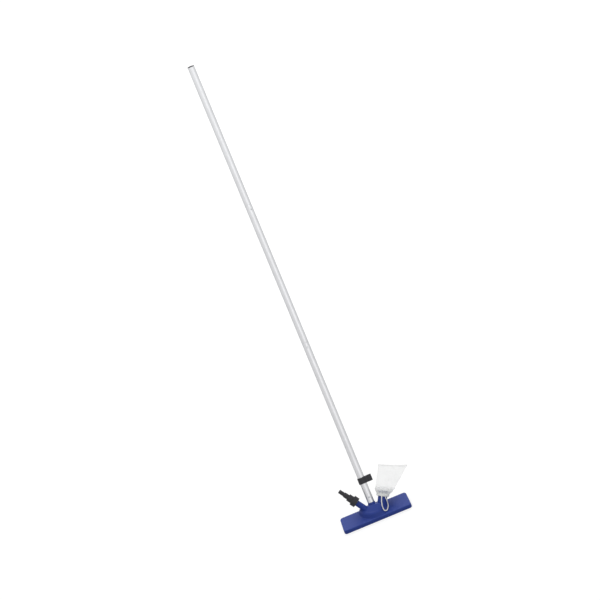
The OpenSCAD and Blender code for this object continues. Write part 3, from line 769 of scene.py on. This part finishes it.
cord_white, cord_tree, cord_shader = new_material("cord_white")
fibre_place = node(cord_tree, "TexCoord").outputs["Object"]
fibre = node(cord_tree, "TexNoise", {"Vector": fibre_place, "Scale": 2400, "Detail": 3}).outputs[0]
fibre_tone = node(cord_tree, "MapRange", {"Value": fibre, "From Min": 0.3, "From Max": 0.7}).outputs[0]
fibre_mix = node(
    cord_tree, "Mix", {0: fibre_tone, 6: srgb(247, 245, 239), 7: srgb(254, 253, 250)}, data_type="RGBA"
)
cord_tree.links.new(fibre_mix.outputs[2], cord_shader.inputs["Base Color"])
fibre_bump = node(cord_tree, "Bump", {"Strength": 0.4, "Distance": 0.0002, "Height": fibre}).outputs[0]
cord_tree.links.new(fibre_bump, cord_shader.inputs["Normal"])
cord_shader.inputs["Roughness"].default_value = 0.85
cord_shader.inputs["Sheen Weight"].default_value = 0.3

free_loop = twisted_cord("free_loop", cord_line, False)
loop_piece = new_piece("drawstring_free_loop", free_loop, cord_white, "bag")
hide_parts("drawstring_loop")
hem_line = [
    outlet_axis @ Vector((string_r * cos(a), string_r * sin(a), hem_from + hem_height / 2))
    for a in (2 * pi * k / hem_string_steps for k in range(hem_string_steps))
]
in_hem = twisted_cord("in_hem", hem_line, True)
string_piece = new_piece("drawstring_in_hem", in_hem, cord_white, "bag")
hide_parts("hem_drawstring")

# Studio: a plain pale floor and a white surround, with broad lamps above, behind the head and in front on
# the right, and an even light from all round.
white_level, ambient = 1.0, 0.5
floor_half, floor_tone, floor_glow = 9, 0.32, 0.74


def seen_directly(tree):
    """1 for what the camera sees straight, in a reflection or through a clear piece."""
    path = node(tree, "LightPath").outputs
    straight = node(
        tree, "Math", {0: path["Is Camera Ray"], 1: path["Is Glossy Ray"]}, operation="MAXIMUM"
    ).outputs[0]
    return node(
        tree, "Math", {0: straight, 1: path["Is Transmission Ray"]}, operation="MAXIMUM"
    ).outputs[0]


world = bpy.data.worlds.new("studio")
bpy.context.scene.world = world
world.use_nodes = True
sky = world.node_tree.nodes["Background"]
level = node(
    world.node_tree,
    "MapRange",
    {"Value": seen_directly(world.node_tree), "To Min": ambient, "To Max": white_level},
).outputs[0]
sky.inputs["Color"].default_value = (1, 1, 1, 1)
world.node_tree.links.new(level, sky.inputs["Strength"])

floor_form = bmesh.new()
bmesh.ops.create_grid(floor_form, x_segments=1, y_segments=1, size=floor_half)
floor_mesh = bpy.data.meshes.new("floor")
floor_form.to_mesh(floor_mesh)
floor_form.free()
floor = bpy.data.objects.new("floor", floor_mesh)
bpy.context.scene.collection.objects.link(floor)
floor_paint, floor_tree, floor_shader = new_material("floor_paint")
floor_shader.inputs["Base Color"].default_value = (floor_tone, floor_tone, floor_tone, 1)
floor_shader.inputs["Roughness"].default_value = 1
floor_shader.inputs["Specular IOR Level"].default_value = 0
floor_shader.inputs["Emission Color"].default_value = (1, 1, 1, 1)
glow = node(
    floor_tree, "Math", {0: seen_directly(floor_tree), 1: floor_glow}, operation="MULTIPLY"
).outputs[0]
floor_tree.links.new(glow, floor_shader.inputs["Emission Strength"])
floor_mesh.materials.append(floor_paint)


def softbox(name, place, target, size, watts):
    """A broad square lamp that faces a point."""
    lamp = bpy.data.objects.new(name, bpy.data.lights.new(name, "AREA"))
    lamp.data.shape, lamp.data.size, lamp.data.energy = "SQUARE", size, watts
    lamp.location = place
    lamp.rotation_euler = (Vector(target) - Vector(place)).to_track_quat("-Z", "Y").to_euler()
    bpy.context.scene.collection.objects.link(lamp)


softbox("lamp_above", (-0.6, 1.4, 4.4), (0, 0.5, 0.5), 4.0, 55)
softbox("lamp_behind", (0.1, 3.6, 3.2), (0, 0, 0), 5.0, 94)
softbox("lamp_front", (1.7, -3.4, 2.6), (0, 0.4, 0.6), 4.0, 36)

bpy.context.scene.view_settings.view_transform = "Standard"
